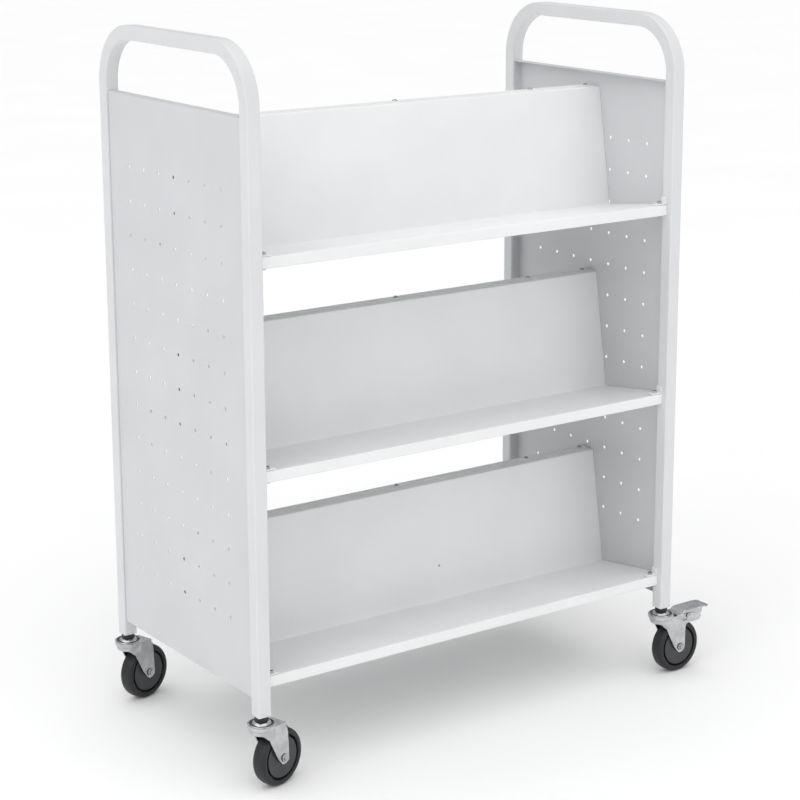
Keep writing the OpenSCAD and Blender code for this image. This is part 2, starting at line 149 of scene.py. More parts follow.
def powder_coat(name, low, high):
    """Polyester powder baked on steel: an even film with a soft sheen and a faint orange peel."""
    material, tree, shader, coords = start(name, {"IOR": 1.5, "Coat Weight": 0.12})
    shader.inputs["Coat Roughness"].default_value = 0.3
    cloud = add(tree, "ShaderNodeTexNoise", {"Scale": per_metre(140), "Detail": 3.0},
        {"Vector": coords})
    tones(tree, shader, cloud.outputs["Fac"], low, high)
    # the peel of the real film is about 1.5 mm from crest to crest, drawn at 4 mm so that it shows
    peel = add(tree, "ShaderNodeTexNoise", {"Scale": per_metre(4), "Detail": 2.0}, {"Vector": coords})
    roughness_between(tree, shader, peel.outputs["Fac"], 0.36, 0.5)
    relief(tree, shader, peel.outputs["Fac"], 0.25, 0.12)
    return material


def plated_steel(name, low, high, rough):
    """Steel under bright zinc: cool grey and mirror-like, with soft clouds in its shine."""
    material, tree, shader, coords = start(name, {"Metallic": 1.0})
    blotch = add(tree, "ShaderNodeTexNoise", {"Scale": per_metre(14), "Detail": 2.0},
        {"Vector": coords})
    tones(tree, shader, blotch.outputs["Fac"], low, high)
    roughness_between(tree, shader, blotch.outputs["Fac"], rough, rough + 0.1)
    # the drawn grain of the sheet under the plating, about 2 mm
    grain = add(tree, "ShaderNodeTexNoise", {"Scale": per_metre(2), "Detail": 2.0}, {"Vector": coords})
    relief(tree, shader, grain.outputs["Fac"], 0.12, 0.03)
    return material


def moulded(name, low, high, rough, grain_mm, depth_mm):
    """A moulded plastic or rubber: one colour all through, with the fine spark-eroded grain of its mould."""
    material, tree, shader, coords = start(name, {"IOR": 1.5})
    cloud = add(tree, "ShaderNodeTexNoise", {"Scale": per_metre(18), "Detail": 3.0},
        {"Vector": coords})
    tones(tree, shader, cloud.outputs["Fac"], low, high)
    grain = add(tree, "ShaderNodeTexNoise", {"Scale": per_metre(grain_mm), "Detail": 2.0},
        {"Vector": coords})
    roughness_between(tree, shader, grain.outputs["Fac"], rough - 0.06, rough + 0.08)
    relief(tree, shader, grain.outputs["Fac"], 0.3, depth_mm)
    return material


frame_coat = powder_coat("powder_coat_frame", "#d9dadb", "#dedfe0")
panel_coat = powder_coat("powder_coat_panel", "#cfd0d2", "#d4d5d7")
shelf_coat = powder_coat("powder_coat_shelf", "#ebecec", "#f0f1f1")
zinc = plated_steel("bright_zinc_plated_steel", "#b2b4b6", "#cccdce", 0.16)
bolt_zinc = plated_steel("zinc_plated_bolt_steel", "#a8aaac", "#c6c8c9", 0.2)
ball_steel = plated_steel("hardened_ball_steel", "#8f9296", "#b9bcbf", 0.12)
# near-black that stands for shade rather than a finish: painted shade in the screws' cross recesses, in the race
# caps' groove rings and in the gap under each leg where the stem collars stand
painted_shade_black = moulded("near_black_painted_shade", "#111214", "#1d1e20", 0.34, 0.9, 0.03)
tyre_rubber = moulded("moulded_grey_rubber", "#191a1c", "#222325", 0.5, 0.8, 0.05)
hub_plastic = moulded("moulded_polypropylene", "#333437", "#3c3d40", 0.42, 0.9, 0.03)
# near-black painted shade for the deep groove ring of the wheel hubs
hub_groove_painted_shade = moulded("polypropylene_groove_painted_shade", "#040405", "#09090a", 0.6, 0.9, 0.03)
insert_nylon = moulded("moulded_black_nylon", "#17181a", "#222326", 0.45, 0.8, 0.04)


# ---- making pieces ----

def from_outline(points):
    """A bmesh holding one flat face."""
    bm = bmesh.new()
    bm.faces.new([bm.verts.new(p) for p in points])
    return bm


def slab(points, depth):
    """A flat outline given a thickness, a vector in millimetres, and closed."""
    bm = from_outline(points)
    top = bmesh.ops.extrude_face_region(bm, geom=bm.faces[:], use_keep_orig=True)["geom"]
    bmesh.ops.translate(bm, vec=depth, verts=[g for g in top if isinstance(g, bmesh.types.BMVert)])
    bmesh.ops.recalc_face_normals(bm, faces=bm.faces[:])
    return bm


def lathe(profile, steps=72):
    """A profile of (radius, height) points turned about Z and closed where it meets the axis."""
    bm = bmesh.new()
    points = [bm.verts.new((r, 0, z)) for r, z in profile]
    edges = [bm.edges.new(pair) for pair in zip(points, points[1:])]
    bmesh.ops.spin(bm, geom=points + edges, cent=(0, 0, 0), axis=(0, 0, 1), angle=math.tau,
        steps=steps, use_merge=True, use_duplicate=False)
    bmesh.ops.remove_doubles(bm, verts=bm.verts[:], dist=0.001)
    bmesh.ops.recalc_face_normals(bm, faces=bm.faces[:])
    return bm


def soften(bm, width, segments=2, angle=35, where=None):
    """Rounds the sharp edges."""
    sharp = [e for e in bm.edges if len(e.link_faces) == 2
        and e.calc_face_angle() > math.radians(angle) and (where is None or where(e))]
    bmesh.ops.bevel(bm, geom=sharp, offset=width, offset_type="OFFSET", segments=segments,
        profile=0.5, affect="EDGES", clamp_overlap=True, material=-1)
    return bm


def join(*parts):
    """One bmesh from several."""
    whole = bmesh.new()
    for part in parts:
        mesh = bpy.data.meshes.new("part")
        part.to_mesh(mesh)
        whole.from_mesh(mesh)
        bpy.data.meshes.remove(mesh)
        part.free()
    return whole


def copies(bm, places):
    """One bmesh with a copy of bm at each place."""
    made = []
    for place in places:
        one = bm.copy()
        one.transform(place)
        made.append(one)
    bm.free()
    return join(*made)


def with_finish(bm, index):
    for face in bm.faces:
        face.material_index = index
    return bm


def piece(name, bm, body, materials, replaced=(), sheet=0.0, rim=0.0, even=True):
    """A named object from a bmesh in millimetres, shaded, finished and riding on its body."""
    bm.transform(TO_METRES)
    mesh = bpy.data.meshes.new(name)
    bm.to_mesh(mesh)
    bm.free()
    made = bpy.data.objects.new(name, mesh)
    bpy.context.scene.collection.objects.link(made)
    for material in materials:
        mesh.materials.append(material)
    if sheet:
        wall = made.modifiers.new("wall", "SOLIDIFY")
        wall.thickness = sheet / 1000
        wall.offset = -1
        wall.use_even_offset = even
    if rim:
        edge = made.modifiers.new("rim", "BEVEL")
        edge.width = rim / 1000
        edge.segments = 2
        edge.limit_method = "ANGLE"
        edge.angle_limit = math.radians(50)
    if sheet or rim:
        bpy.context.view_layer.update()
        seen = made.evaluated_get(bpy.context.evaluated_depsgraph_get())
        settled = bpy.data.meshes.new_from_object(seen)
        made.modifiers.clear()
        made.data = settled
        settled.name = name
        bpy.data.meshes.remove(mesh)
    made.data.shade_smooth()
    made.data.set_sharp_from_angle(angle=FLAT)
    level_shade = made.modifiers.new("flat_faces_stay_flat", "WEIGHTED_NORMAL")
    level_shade.keep_sharp = True
    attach(made, body)
    if replaced:
        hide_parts(*replaced)
    return made


def box_mm(node):
    """A node's lowest and highest corners in millimetres."""
    low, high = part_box(node)
    return low * 1000, high * 1000


# ---- the sheet metal ----

end_low, end_high = box_mm("right_end_frame")
LIP_HALF = end_low.x - 0.3  # the lips stop just short of the legs
panel_low, panel_high = box_mm("right_end_panel")
NOTCH_Y = panel_high.y - SHEET - 0.3


def shelf_half(level, half):
    """One half of a shelf: lip, sloping floor, steep back and half of the ridge, folded from one sheet."""
    node = level + "_shelf_" + half
    low, high = box_mm(node)
    side = 1 if half == "back" else -1
    lip_y = high.y if side > 0 else -low.y
    lip_top = low.z + LIP_H
    lap_to = 0 if side > 0 else -LAP
    folds = [(lip_y - LIP_RETURN, low.z), (lip_y, low.z), (lip_y, lip_top),
        (VALLEY_Y, lip_top - VALLEY_DROP), (RIDGE_HALF, high.z), (lap_to, high.z)]
    bm = bmesh.new()
    points = [bm.verts.new((-high.x, side * y, z)) for y, z in folds]
    chain = [bm.edges.new(pair) for pair in zip(points, points[1:])]
    drawn = bmesh.ops.extrude_edge_only(bm, edges=chain)["geom"]
    bmesh.ops.translate(bm, vec=(2 * high.x, 0, 0),
        verts=[g for g in drawn if isinstance(g, bmesh.types.BMVert)])
    # the front strip is cut away where the legs stand
    for place, across in (((LIP_HALF, 0, 0), (1, 0, 0)), ((-LIP_HALF, 0, 0), (1, 0, 0)),
            ((0, side * NOTCH_Y, 0), (0, 1, 0)), ((0, side * (NOTCH_Y - 2), 0), (0, 1, 0)),
            ((0, side * (VALLEY_Y + 6), 0), (0, 1, 0))):
        bmesh.ops.bisect_plane(bm, geom=bm.verts[:] + bm.edges[:] + bm.faces[:], dist=0.0001,
            plane_co=place, plane_no=across)
    gone = [f for f in bm.faces if abs(f.calc_center_median().x) > LIP_HALF
        and side * f.calc_center_median().y > NOTCH_Y]
    bmesh.ops.delete(bm, geom=gone, context="FACES")
    # the slope's ends are folded down
    ends = [e for e in bm.edges if len(e.link_faces) == 1
        and all(abs(abs(v.co.x) - high.x) < 0.01 for v in e.verts)
        and all(VALLEY_Y + 5 < side * v.co.y < NOTCH_Y - 1 for v in e.verts)]
    down = bmesh.ops.extrude_edge_only(bm, edges=ends)["geom"]
    bmesh.ops.translate(bm, vec=(0, 0, -END_FOLD),
        verts=[g for g in down if isinstance(g, bmesh.types.BMVert)])
    bmesh.ops.recalc_face_normals(bm, faces=bm.faces[:])
    bm.faces.ensure_lookup_table()
    lip = min(bm.faces, key=lambda f: abs(side * f.calc_center_median().y - lip_y))
    if lip.normal.y * side < 0:
        bmesh.ops.reverse_faces(bm, faces=bm.faces[:])
    soften(bm, FOLD_R, segments=4, angle=20)
    return piece(level + "_" + half + "_shelf_sheet", bm, "root", [shelf_coat],
        [node], sheet=SHEET, rim=0.25)


def end_panel(side):
    """A sheet with its grid of holes and its four edges folded inwards."""
    cell_y, cell_z = HOLE_PITCH_Y / 2, HOLE_PITCH_Z / 2
    cell = bmesh.new()
    bmesh.ops.create_circle(cell, segments=16, radius=HOLE_R, cap_ends=False)
    hole_edges = cell.edges[:]
    rim = bmesh.ops.create_circle(cell, segments=4, radius=1, cap_ends=False)["verts"]
    rim_edges = [e for e in cell.edges if e not in hole_edges]
    for v in rim:
        v.co = (math.copysign(cell_y, v.co.x + v.co.y * 0.5), math.copysign(cell_z, v.co.y - v.co.x * 0.5), 0)
    bmesh.ops.subdivide_edges(cell, edges=rim_edges, cuts=3)
    rim_edges = [e for e in cell.edges if e not in hole_edges]
    bmesh.ops.bridge_loops(cell, edges=hole_edges + rim_edges)
    places = [Matrix.Translation(((c - (HOLES_ACROSS - 1) / 2) * HOLE_PITCH_Y,
        (r - (HOLES_UP - 1) / 2) * HOLE_PITCH_Z, 0))
        for c in range(HOLES_ACROSS) for r in range(HOLES_UP)]
    bm = copies(cell, places)
    bmesh.ops.remove_doubles(bm, verts=bm.verts[:], dist=0.01)
    half_y = panel_high.y
    half_z = (panel_high.z - panel_low.z) / 2
    grid_y, grid_z = HOLES_ACROSS * cell_y, HOLES_UP * cell_z
    border = [e for e in bm.edges if len(e.link_faces) == 1
        and e.verts[0].co.length > 2 * HOLE_R and (abs(abs(e.verts[0].co.x) - grid_y) < 0.1
        and abs(abs(e.verts[1].co.x) - grid_y) < 0.1 or abs(abs(e.verts[0].co.y) - grid_z) < 0.1
        and abs(abs(e.verts[1].co.y) - grid_z) < 0.1)]
    made = bmesh.ops.extrude_edge_only(bm, edges=border)["geom"]
    edge_verts = [g for g in made if isinstance(g, bmesh.types.BMVert)]
    for v in edge_verts:
        if abs(abs(v.co.x) - grid_y) < 0.1:
            v.co.x = math.copysign(half_y, v.co.x)
        if abs(abs(v.co.y) - grid_z) < 0.1:
            v.co.y = math.copysign(half_z, v.co.y)
    border = [g for g in made if isinstance(g, bmesh.types.BMEdge)
        and all(v in edge_verts for v in g.verts)]
    flange = bmesh.ops.extrude_edge_only(bm, edges=border)["geom"]
    depth = panel_high.x - panel_low.x
    bmesh.ops.translate(bm, vec=(0, 0, -depth),
        verts=[g for g in flange if isinstance(g, bmesh.types.BMVert)])
    # stand it up: X across becomes Y, Y up becomes Z, and the face looks outwards
    bm.transform(Matrix(((0, 0, 1, panel_high.x), (1, 0, 0, 0),
        (0, 1, 0, (panel_high.z + panel_low.z) / 2), (0, 0, 0, 1))))
    bmesh.ops.recalc_face_normals(bm, faces=bm.faces[:])
    bm.faces.ensure_lookup_table()
    face = max(bm.faces, key=lambda f: f.calc_center_median().x)
    if face.normal.x < 0:
        bmesh.ops.reverse_faces(bm, faces=bm.faces[:])
    soften(bm, FOLD_R - 0.6, segments=4, angle=60)
    if side == "left":
        bm.transform(Matrix.Scale(-1, 4, (1, 0, 0)))
        bmesh.ops.reverse_faces(bm, faces=bm.faces[:])
    return piece(side + "_panel_sheet", bm, "root", [panel_coat],
        [side + "_end_panel"], sheet=SHEET, rim=0.2)


for level in LEVELS:
    for half in ("front", "back"):
        shelf_half(level, half)

# a small blind rivet in the steep back of the bottom front half
RIVET_UP, RIVET_X = 66, 62
sheet_low, sheet_high = box_mm("bottom_shelf_front")
foot = Vector((0, -VALLEY_Y, sheet_low.z + LIP_H - VALLEY_DROP))
head = Vector((0, -RIDGE_HALF, sheet_high.z))
steep = (head - foot).normalized()
rivet = lathe([(0, 0.9), (1.2, 0.8), (2.2, 0.3), (2.4, -0.6), (0, -0.6)], steps=24)
rivet.transform(Matrix.Translation(foot + steep * RIVET_UP + Vector((RIVET_X, 0, 0)))
    @ Vector((0, -steep.z, steep.y)).to_track_quat("Z", "Y").to_matrix().to_4x4())
piece("back_plate_rivet", rivet, "root", [bolt_zinc])
for side in SIDES:
    end_panel(side)


# ---- screws ----

def pan_head():
    """A pan head with a cross recess drawn as two near-black bars of painted shade, its underside on the XY plane
    and its shank pointing down.
    """
    cap = lathe([(0, SCREW_HEAD_H), (1.6, SCREW_HEAD_H - 0.05), (3.2, SCREW_HEAD_H - 0.45),
        (4.3, SCREW_HEAD_H - 1.2), (SCREW_HEAD_R, 0.5), (SCREW_HEAD_R, 0.0), (2.4, 0.0), (2.4, -9),
        (1.9, -9.8), (0, -9.8)], steps=32)
    arms = []
    # the cross recess is not cut: two near-black bars of painted shade stand for it
    for turn in (0, 90):
        arm = bmesh.new()
        bmesh.ops.create_cube(arm, size=1, matrix=Matrix.Rotation(math.radians(turn), 4, "Z")
            @ Matrix.Translation((0, 0, SCREW_HEAD_H - 0.1)) @ Matrix.Diagonal((4.6, 1.0, 0.5, 1)))
        arms.append(with_finish(arm, 1))
    return join(cap, *arms)


def screws(name, node, levels, places, turned):
    spots = [Matrix.Translation((x, y, z)) @ Matrix.Rotation(math.radians(180 if turned else 0), 4, "X")
        @ Matrix.Rotation(0.7 * i, 4, "Z") for z in levels for i, (x, y) in enumerate(places)]
    piece(name, copies(pan_head(), spots), "root", [bolt_zinc, painted_shade_black], [node])


ridge_high = box_mm("ridge_screws")[1]
end_x = ridge_high.x - SCREW_HEAD_R
ridge_levels = [box_mm(level + "_shelf_back")[1].z for level in LEVELS]
screws("ridge_screw_set", "ridge_screws", ridge_levels,
    [(x, SCREW_Y) for x in (-end_x, -SCREW_PITCH, 0, SCREW_PITCH, end_x)], False)
cleat_high = box_mm("cleat_screws")[1]
cleat_x = cleat_high.x - SCREW_HEAD_R
cleat_y = cleat_high.y - SCREW_HEAD_R
screws("cleat_screw_set", "cleat_screws", [box_mm(level + "_shelf_back")[0].z for level in LEVELS],
    [(sx * cleat_x, sy * cleat_y) for sx in (-1, 1) for sy in (-1, 1)], True)


# ---- casters ----

def corner_place(corner):
    """The matrix that takes a caster drawn at the origin to its corner, with its turn."""
    stem = JOINTS[corner + "_swivel_turn"]["pos_m"]
    axle = JOINTS[corner + "_wheel_spin"]["axis"]
    return (Matrix.Translation((stem[0] * 1000, stem[1] * 1000, 0))
        @ Matrix.Rotation(math.atan2(-axle[0], axle[1]), 4, "Z"))


AT_AXLE = Matrix.Translation((TRAIL, 0, AXLE_Z)) @ Matrix.Rotation(math.radians(90), 4, "X")


def smooth(t):
    t = min(1, max(0, t))
    return t * t * (3 - 2 * t)


def side_rows(braked):
    """The lower and upper outline of a fork's side from front to back, as (x, z) points."""
    low = [(0, PLATE_LOW - 17.2), (1.6, PLATE_LOW - 20.8), (7.2, PLATE_LOW - 32), (14.3, PLATE_LOW - 45.4),
        (21.4, PLATE_LOW - 58.8)]
    for k in range(19):
        turn = math.radians(209 + k * 145 / 18)
        low.append((TRAIL + BOSS_R * math.cos(turn), AXLE_Z + BOSS_R * math.sin(turn)))
    low += ([(49, 55), (49.1, 66), (49.2, 80), (49.6, PLATE_LOW - 26), (50.6, PLATE_LOW - 20),
        (54, PLATE_LOW - 17), (62, PLATE_LOW - 16.7), (74, PLATE_LOW - 17), (84, PLATE_LOW - 16.5),
        (88, PLATE_LOW - 14), (90, PLATE_LOW - 8)] if braked
        else [(48.9, 55), (48.6, 66), (48, 80), (47.6, PLATE_LOW - 26), (47, PLATE_LOW - 18),
        (45.6, PLATE_LOW - 11), (44, PLATE_LOW - 5), (42.5, PLATE_HIGH)])
    last = (66, PLATE_HIGH - 0.4) if braked else (42.5, PLATE_HIGH)
    count = len(low)
    high = []
    for k in range(count):
        # the front half of the upper edge is spread over the slanting front of the leg
        x = last[0] * smooth(k / (count - 1)) if not braked else last[0] * (k / (count - 1))
        high.append((x, PLATE_HIGH))
    if braked:
        for k, point in zip(range(count - 4, count), ((66, PLATE_LOW + 2), (74, PLATE_LOW),
                (82, PLATE_LOW - 3), (90, PLATE_LOW - 7.5))):
            high[k] = point
    return low, high


def fork_shell(braked):
    """The fork as one pressed sheet: two legs, the apron that joins them in front, and the crown on top."""
    low, high = side_rows(braked)
    flare = HEAD_R - 2.6
    rows = 12
    bm = bmesh.new()

    def column(bottom, top, plan):
        line = []
        for j in range(rows + 1):
            t = j / rows
            x = bottom[0] + (top[0] - bottom[0]) * t
            z = bottom[1] + (top[1] - bottom[1]) * t
            line.append(bm.verts.new(plan(x, z)))
        return line

    def wide(x, z):
        """Half the fork's width: its flat leg, or the flare up to the head."""
        round_head = math.sqrt(max(0, flare ** 2 - x ** 2))
        rise = smooth((z - PLATE_LOW + 20) / (PLATE_HIGH - PLATE_LOW + 20))
        return SIDE_Y + max(0, round_head - SIDE_Y) * rise

    columns = []
    # from the back of one leg round the front to the back of the other
    for bottom, top in reversed(list(zip(low, high))):
        columns.append(column(bottom, top, lambda x, z: (x, wide(x, z), z)))
    front = 20
    for k in range(1, front):
        turn = math.pi / 2 + math.pi * k / front
        # the lower edge arches up between the legs, and is level across the front
        arch = PLATE_LOW - 6.2 - 11 * (1 - smooth(3.4 * min(k, front - k) / front)) ** 1.2

        def apron(x, z, turn=turn):
            reach = wide(0, z)
            return (reach * math.cos(turn), reach * math.sin(turn), z)

        columns.append(column((0, arch), (0, PLATE_HIGH), apron))
    for bottom, top in zip(low, high):
        columns.append(column(bottom, top, lambda x, z: (x, -wide(x, z), z)))
    for one, two in zip(columns, columns[1:]):
        for j in range(rows):
            bm.faces.new((one[j], two[j], two[j + 1], one[j + 1]))
    # the crown closes the top between the matching columns of the two sides
    tops = [c[-1] for c in columns]
    last = len(tops) - 1
    shut = 3 if braked else 0
    for k in range(shut, last // 2):
        corner = (tops[k], tops[k + 1], tops[last - k - 1], tops[last - k])
        if len(set(corner)) == 4 and tops[k + 1] is not tops[last - k - 1]:
            bm.faces.new(corner)
        else:
            bm.faces.new((tops[k], tops[k + 1], tops[last - k]))
    bmesh.ops.remove_doubles(bm, verts=bm.verts[:], dist=0.01)
    bmesh.ops.dissolve_degenerate(bm, edges=bm.edges[:], dist=0.01)
    bmesh.ops.recalc_face_normals(bm, faces=bm.faces[:])
    lowest = min(bm.faces, key=lambda f: f.calc_center_median().z)
    if lowest.normal.y * lowest.calc_center_median().y < 0:
        bmesh.ops.reverse_faces(bm, faces=bm.faces[:])
    return soften(bm, 1.6, segments=3, angle=50,
        where=lambda e: min(v.co.z for v in e.verts) > PLATE_HIGH - 1)


def hex_prism(flats, height, edge):
    bm = bmesh.new()
    bmesh.ops.create_cone(bm, cap_ends=True, segments=6, radius1=flats / 2 / math.cos(math.pi / 6),
        radius2=flats / 2 / math.cos(math.pi / 6), depth=height)
    bmesh.ops.translate(bm, vec=(0, 0, height / 2), verts=bm.verts[:])
    return soften(bm, edge, segments=2)


AXLE_R = 4
TYRE_HALF = 14
AXLE_HEAD_FLATS, AXLE_NUT_FLATS, COLLAR_FLATS = 10, 13, 21


def bolt_head():
    """A flanged hexagon head, standing up from the XY plane."""
    flange = lathe([(0, 1.6), (5.4, 1.5), (7.4, 0.9), (7.6, 0.3), (7.4, 0)], steps=40)
    return join(flange, hex_prism(AXLE_HEAD_FLATS, 4.4, 0.5))


def cast_caster(corner):
    place = corner_place(corner)
    braked = corner in BRAKED
    swivel, wheel = corner + "_swivel", corner + "_wheel"
    # fork
    shell = fork_shell(braked)
    shell.transform(place)
    piece(corner + "_fork_pressing", shell, swivel, [zinc],
        [corner + "_fork"], sheet=FORK_SHEET, rim=0.5, even=False)
    # the pressed bowl under the ball ring
    bowl = lathe([(r, PLATE_HIGH + z) for r, z in ((6.3, -2.5), (20, -2.5), (22.4, -1.7), (23.6, -0.3),
        (23.8, 0.9), (23.4, 2.5), (23.2, 3.7), (22.6, 4), (20.2, 3.8), (19.9, 1.5), (19.6, 0), (6.3, 0),
        (6.3, -2.5))])
    bowl.transform(place)
    piece(corner + "_lower_race", bowl, swivel, [zinc])
    # wheel
    side = [(WHEEL_R - 11.4, 11), (WHEEL_R - 10.6, 12.6), (WHEEL_R - 9, 13.5), (WHEEL_R - 6.5, TYRE_HALF),
        (WHEEL_R - 4.5, 13.4), (WHEEL_R - 2.4, 11.8), (WHEEL_R - 0.9, 9.4), (WHEEL_R - 0.2, 6.5),
        (WHEEL_R, 3), (WHEEL_R, 0.35), (WHEEL_R - 0.15, 0)]
    tyre = lathe(side + [(r, -y) for r, y in reversed(side[:-1])] + side[:1], steps=96)
    tyre.transform(place @ AT_AXLE)
    piece(corner + "_rubber_tyre", tyre, wheel, [tyre_rubber], [corner + "_tyre"])
    side = [(7, 14.8), (9.6, 14.8), (10.4, 14.4), (10.8, 12.4), (14, 12), (WHEEL_R - 20, 12),
        (WHEEL_R - 16.4, 12.3), (WHEEL_R - 15.2, 12.1), (WHEEL_R - 14.8, 11.4), (WHEEL_R - 14.6, 7),
        (WHEEL_R - 11, 6.6)]
    disc = lathe(side + [(r, -y) for r, y in reversed(side)] + side[:1], steps=96)
    # the groove ring round the hub takes the near-black: painted shade
    for face in disc.faces:
        centre = face.calc_center_median()
        if WHEEL_R - 14.9 < math.hypot(centre.x, centre.y) < WHEEL_R - 10.8:
            face.material_index = 1
    disc.transform(place @ AT_AXLE)
    piece(corner + "_moulded_hub", disc, wheel, [hub_plastic, hub_groove_painted_shade],
        [corner + "_hub"])
    # axle bolt, its head on the outside of the leg nearest -Y
    outer = SIDE_Y + FORK_SHEET / 2
    head = bolt_head()
    head.transform(Matrix.Translation((0, 0, outer)))
    shank = lathe([(0, -outer - 8), (3.4, -outer - 8), (AXLE_R, -outer - 7.2),
        (AXLE_R, outer), (0, outer)], steps=32)
    bolt = join(head, shank)
    bolt.transform(place @ AT_AXLE)
    piece(corner + "_axle_bolt", bolt, swivel, [bolt_zinc], [corner + "_axle"])
    nut = join(hex_prism(AXLE_NUT_FLATS, 6, 0.6),
        lathe([(AXLE_R, 0), (8, 0), (8, 0.8), (7.2, 1.2), (AXLE_R, 1.2)], steps=40))
    nut.transform(place @ AT_AXLE @ Matrix.Translation((0, 0, -outer)) @ Matrix.Rotation(math.pi, 4, "X"))
    piece(corner + "_axle_lock_nut", nut, swivel, [bolt_zinc], [corner + "_axle_nut"])
    if braked:
        brake_pedal(corner, place)


PEDAL_PIN = (TRAIL + 18, PLATE_LOW - 2.5)
PEDAL_TOP = PLATE_HIGH + 7.5
PEDAL_NEAR = HEAD_R + 2
PEDAL_FAR = TRAIL + 72
PEDAL_HALF = 18
RIB_LENGTH, RIB_STEP = 22, 7
SHOE_HALF = 14


def brake_pedal(corner, place):
    """A pressed tread with turned-down sides, on two cheeks that turn on the pin, and the shoe under it."""
    plate = bmesh.new()
    bmesh.ops.create_grid(plate, x_segments=24, y_segments=8, size=1)
    length = PEDAL_FAR - PEDAL_NEAR
    for v in plate.verts:
        along = (v.co.x + 1) / 2
        v.co.x = PEDAL_NEAR + length * along
        v.co.y *= PEDAL_HALF - 0.6 - 2.5 * smooth((along - 0.95) / 0.05)
        # the tread sits a step higher than the part beside the head, and dips a little at its toe
        v.co.z = PEDAL_TOP - 4.5 * smooth((0.26 - along) / 0.1) - 1.2 * smooth((along - 0.8) / 0.2)
    rim = [e for e in plate.edges if len(e.link_faces) == 1]
    hem = bmesh.ops.extrude_edge_only(plate, edges=rim)["geom"]
    bmesh.ops.translate(plate, vec=(0, 0, -3.4), verts=[g for g in hem if isinstance(g, bmesh.types.BMVert)])
    bmesh.ops.recalc_face_normals(plate, faces=plate.faces[:])
    plate.faces.ensure_lookup_table()
    if max(plate.faces, key=lambda f: f.calc_area()).normal.z < 0:
        bmesh.ops.reverse_faces(plate, faces=plate.faces[:])
    soften(plate, 1.2, segments=3, angle=60)
    plate.transform(place)
    body = corner + "_brake"
    piece(corner + "_brake_tread", plate, body, [zinc], [corner + "_pedal"],
        sheet=1.8, rim=0.3)
    # five ribs pressed up across the tread
    rib = slab([(x, 0, z) for x, z in ((-1.6, 0), (-0.9, 0.9), (0, 1.2), (0.9, 0.9), (1.6, 0))], (0, RIB_LENGTH, 0))
    ribs = copies(rib, [Matrix.Translation((PEDAL_NEAR + 38 + RIB_STEP * k, -RIB_LENGTH / 2, PEDAL_TOP - 0.6))
        for k in range(5)])
    soften(ribs, 0.4)
    ribs.transform(place)
    piece(corner + "_tread_ribs", ribs, body, [zinc])
    cheeks = []
    for y in (-15.5, 13.5):
        cheek = slab([(x, y, PEDAL_TOP + z) for x, z in ((PEDAL_NEAR + 14, -1.2), (TRAIL + 9, -13.5),
            (TRAIL + 13, -16.6), (TRAIL + 18, -17.4), (TRAIL + 30, -17.8), (PEDAL_FAR - 24, -17.5),
            (PEDAL_FAR - 17, -13), (PEDAL_FAR - 14, -1.6))], (0, 2, 0))
        cheeks.append(soften(cheek, 0.4))
    shoe = slab([(x, -SHOE_HALF, z) for x, z in ((TRAIL + 24, 2 * WHEEL_R - 3), (TRAIL + 31, 2 * WHEEL_R - 3.5),
        (TRAIL + 31, PEDAL_TOP - 2), (TRAIL + 24, PEDAL_TOP - 2))], (0, 2 * SHOE_HALF, 0))
    cheeks.append(with_finish(soften(shoe, 0.8), 1))
    under = join(*cheeks)
    under.transform(place)
    piece(corner + "_brake_cheeks", under, body, [zinc, insert_nylon])
    # two small marks embossed in the side of each bracket
    mark = slab([(x, 0, z) for x, z in ((-1.1, -1.8), (1.1, -1.8), (1.1, 1.8), (-1.1, 1.8))], (0, 1, 0))
    side_y = SIDE_Y + FORK_SHEET / 2 - 0.5
    marks = copies(soften(mark, 0.35), [Matrix.Translation((x, y, PLATE_LOW - 9.5)) for x in (46, 51.5)
        for y in (side_y, -side_y - 1)])
    marks.transform(place)
    piece(corner + "_bracket_marks", marks, corner + "_swivel", [zinc])
    # the pin, with a rolled head on each side
    x, z = PEDAL_PIN
    pin = lathe([(0, -21), (2.6, -20.8), (4.2, -20), (4.6, -19), (3, -18.6), (3, 18.6), (4.6, 19), (4.2, 20),
        (2.6, 20.8), (0, 21)], steps=32)
    pin.transform(place @ Matrix.Translation((x, 0, z)) @ Matrix.Rotation(math.radians(90), 4, "X"))
    piece(corner + "_brake_pin", pin, corner + "_swivel", [bolt_zinc],
        [corner + "_pedal_pin"])


for corner in CORNERS:
    cast_caster(corner)

# fixed caps over the ball rings, their groove ring near-black as painted shade, and the collars up to the legs,
# near-black as painted shade of the gap under each leg
stem_places = [Matrix.Translation([c * 1000 for c in JOINTS[corner + "_swivel_turn"]["pos_m"][:2]] + [0])
    for corner in CORNERS]
cap = lathe([(r, PLATE_HIGH + z) for r, z in ((6.1, 6.3), (6.1, 11.9), (9, 12.5), (13, 11.9), (15.6, 10.1),
    (16.8, 8.1), (20.4, 7.7), (21.2, 8.5), (22.8, 8.8), (24.2, 8.1), (25, 6.3), (25, 2.7), (24.7, 1.5),
    (24.1, 1.5), (24, 4.9), (21, 6.3), (6.1, 6.3))])
# the groove ring between dome and rim takes the near-black: painted shade
for face in cap.faces:
    centre = face.calc_center_median()
    if 16.6 < math.hypot(centre.x, centre.y) < 20.9 and centre.z > PLATE_HIGH + 7:
        face.material_index = 1
piece("upper_race_caps", copies(cap, stem_places), "root", [zinc, painted_shade_black], ["upper_races"])
stem = lathe([(r, PLATE_HIGH + z) for r, z in ((0, -9.8), (4.6, -9.8), (6, -8.3), (6, 54.5), (4.8, 55.5),
    (0, 55.5))], steps=40)
